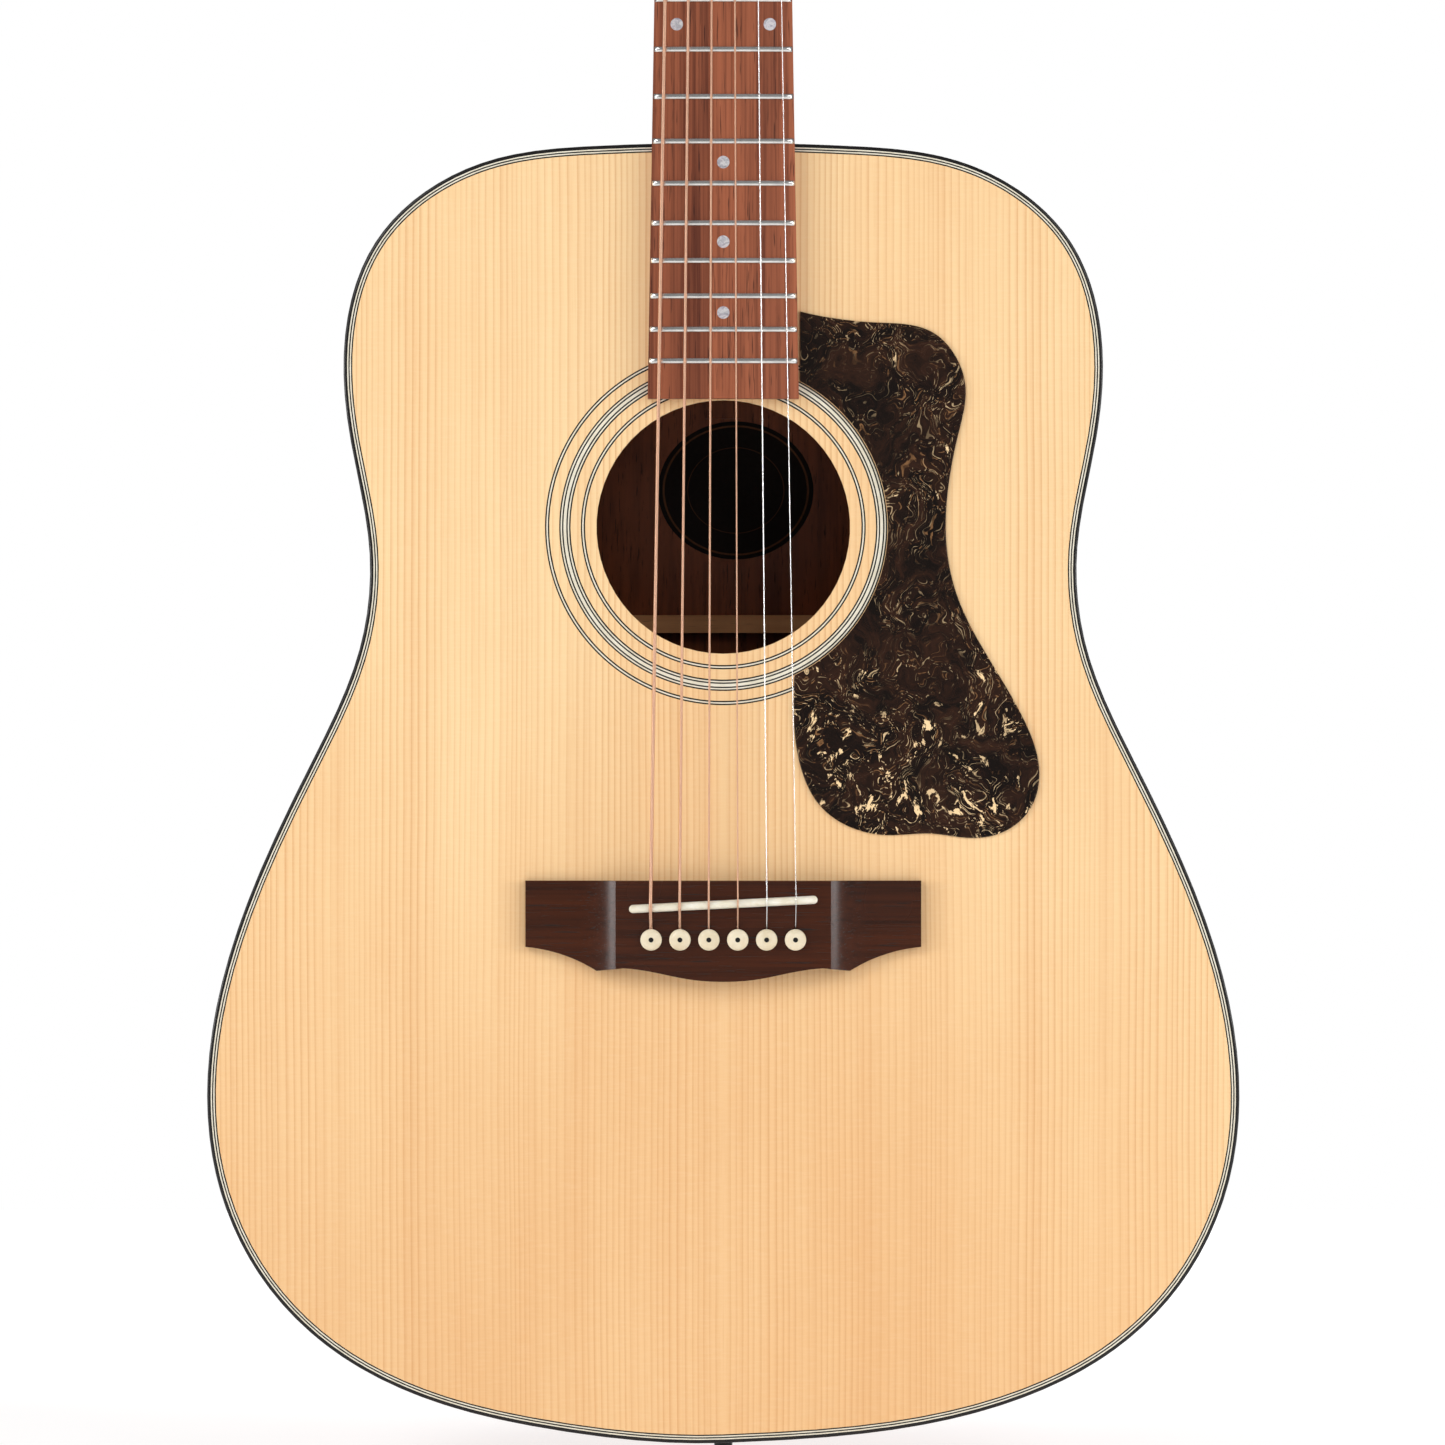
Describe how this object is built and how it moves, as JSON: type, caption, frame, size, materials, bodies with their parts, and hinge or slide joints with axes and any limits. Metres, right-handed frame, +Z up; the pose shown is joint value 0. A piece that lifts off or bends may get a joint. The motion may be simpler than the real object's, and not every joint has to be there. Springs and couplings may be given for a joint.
{
  "type": "acoustic guitar",
  "caption": "Flat-top steel-string guitar with a waisted soundbox, round sound hole, pickguard, pinned bridge, fretted neck and geared tuning machines.",
  "frame": {"origin": "middle of the end pin's waist, where a strap's hole sits, on the centre line at the tail of the body", "axes": "+Z up the neck from tail to headstock, +X to the treble side, +Y from the soundboard to the back"},
  "size_m": [0.398, 0.1348, 1.0515],
  "materials": {
    "bare_spruce": "bare spruce bracing",
    "black_plastic": "polished binding",
    "bone": "polished bone",
    "bronze": "wound phosphor bronze",
    "cream_plastic": "moulded cream plastic",
    "ebony_veneer": "dark veneer, satin varnish",
    "fret_wire": "polished nickel silver",
    "label_paper": "dark printed paper",
    "mahogany": "satin varnish over mahogany",
    "nickel": "nickel plate",
    "pearl": "mother of pearl",
    "plain_steel": "drawn plain steel",
    "rosewood": "oiled rosewood",
    "spruce": "satin varnish over straight-grained spruce",
    "steel": "steel",
    "tortoiseshell": "mottled tortoiseshell, polished",
    "white_plastic": "polished ivory-white lines"
  },
  "bodies": {
    "guitar": {"back_binding": "black_plastic", "back_braces": "mahogany", "back_centre_strip": "mahogany", "back_linings": "mahogany", "back_plate": "mahogany", "bridge": "rosewood", "bridge_pin_dots": "black_plastic", "bridge_pins": "cream_plastic", "bridge_plate": "rosewood", "end_wedge": "black_plastic", "finger_braces": "bare_spruce", "fretboard": "rosewood", "frets": "fret_wire", "headstock_overlay": "ebony_veneer", "headstock_screws": "nickel", "heel_cap": "black_plastic", "neck": "mahogany", "neck_block": "mahogany", "nut": "bone", "pickguard": "tortoiseshell", "position_dots": "pearl", "rosette_black_rings": "black_plastic", "rosette_white_rings": "white_plastic", "saddle": "bone", "side_bass": "mahogany", "side_treble": "mahogany", "soundboard": "spruce", "soundhole_label": "label_paper", "strap_button": "black_plastic", "string_1": "plain_steel", "string_2": "plain_steel", "string_3": "bronze", "string_4": "bronze", "string_5": "bronze", "string_6": "bronze", "tail_block": "mahogany", "tone_bars": "bare_spruce", "top_binding": "black_plastic", "top_linings": "mahogany", "top_purfling_black": "black_plastic", "top_purfling_white": "white_plastic", "truss_rod": "steel", "truss_rod_cover": "black_plastic", "tuner_plates": "nickel", "upper_braces": "bare_spruce", "x_braces": "bare_spruce"},
    "knob_1": {"tuner_knob_1": "nickel"},
    "post_1": {"tuner_post_1": "nickel"},
    "knob_2": {"tuner_knob_2": "nickel"},
    "post_2": {"tuner_post_2": "nickel"},
    "knob_3": {"tuner_knob_3": "nickel"},
    "post_3": {"tuner_post_3": "nickel"},
    "knob_4": {"tuner_knob_4": "nickel"},
    "post_4": {"tuner_post_4": "nickel"},
    "knob_5": {"tuner_knob_5": "nickel"},
    "post_5": {"tuner_post_5": "nickel"},
    "knob_6": {"tuner_knob_6": "nickel"},
    "post_6": {"tuner_post_6": "nickel"},
    "truss_nut": {"truss_rod_nut": "steel"}
  },
  "joints": [
    {"name": "knob_1_turn", "type": "hinge", "parent": "guitar", "child": "knob_1", "pos_m": [0.02248, -0.035, 0.9001], "axis": [1, 0, 0], "continuous": true},
    {"name": "post_1_turn", "type": "hinge", "parent": "guitar", "child": "post_1", "pos_m": [0.02248, -0.03326, 0.90765], "axis": [0, 0.9744, -0.225], "continuous": true},
    {"name": "knob_2_turn", "type": "hinge", "parent": "guitar", "child": "knob_2", "pos_m": [0.02345, -0.02556, 0.94102], "axis": [1, 0, 0], "continuous": true},
    {"name": "post_2_turn", "type": "hinge", "parent": "guitar", "child": "post_2", "pos_m": [0.02345, -0.02381, 0.94858], "axis": [0, 0.9744, -0.225], "continuous": true},
    {"name": "knob_3_turn", "type": "hinge", "parent": "guitar", "child": "knob_3", "pos_m": [0.02443, -0.01611, 0.98195], "axis": [1, 0, 0], "continuous": true},
    {"name": "post_3_turn", "type": "hinge", "parent": "guitar", "child": "post_3", "pos_m": [0.02443, -0.01436, 0.9895], "axis": [0, 0.9744, -0.225], "continuous": true},
    {"name": "knob_4_turn", "type": "hinge", "parent": "guitar", "child": "knob_4", "pos_m": [-0.02443, -0.01611, 0.98195], "axis": [-1, 0, 0], "continuous": true},
    {"name": "post_4_turn", "type": "hinge", "parent": "guitar", "child": "post_4", "pos_m": [-0.02443, -0.01436, 0.9895], "axis": [0, 0.9744, -0.225], "continuous": true},
    {"name": "knob_5_turn", "type": "hinge", "parent": "guitar", "child": "knob_5", "pos_m": [-0.02345, -0.02556, 0.94102], "axis": [-1, 0, 0], "continuous": true},
    {"name": "post_5_turn", "type": "hinge", "parent": "guitar", "child": "post_5", "pos_m": [-0.02345, -0.02381, 0.94858], "axis": [0, 0.9744, -0.225], "continuous": true},
    {"name": "knob_6_turn", "type": "hinge", "parent": "guitar", "child": "knob_6", "pos_m": [-0.02248, -0.035, 0.9001], "axis": [-1, 0, 0], "continuous": true},
    {"name": "post_6_turn", "type": "hinge", "parent": "guitar", "child": "post_6", "pos_m": [-0.02248, -0.03326, 0.90765], "axis": [0, 0.9744, -0.225], "continuous": true},
    {"name": "truss_nut_turn", "type": "hinge", "parent": "guitar", "child": "truss_nut", "pos_m": [0, -0.0543, 0.87868], "axis": [0, 0, 1], "range_deg": [-180, 180]}
  ],
  "couplings": [
    {"joint": "post_1_turn", "follows": "knob_1_turn", "ratio": -0.066667},
    {"joint": "post_2_turn", "follows": "knob_2_turn", "ratio": -0.066667},
    {"joint": "post_3_turn", "follows": "knob_3_turn", "ratio": -0.066667},
    {"joint": "post_4_turn", "follows": "knob_4_turn", "ratio": -0.066667},
    {"joint": "post_5_turn", "follows": "knob_5_turn", "ratio": -0.066667},
    {"joint": "post_6_turn", "follows": "knob_6_turn", "ratio": -0.066667}
  ]
}
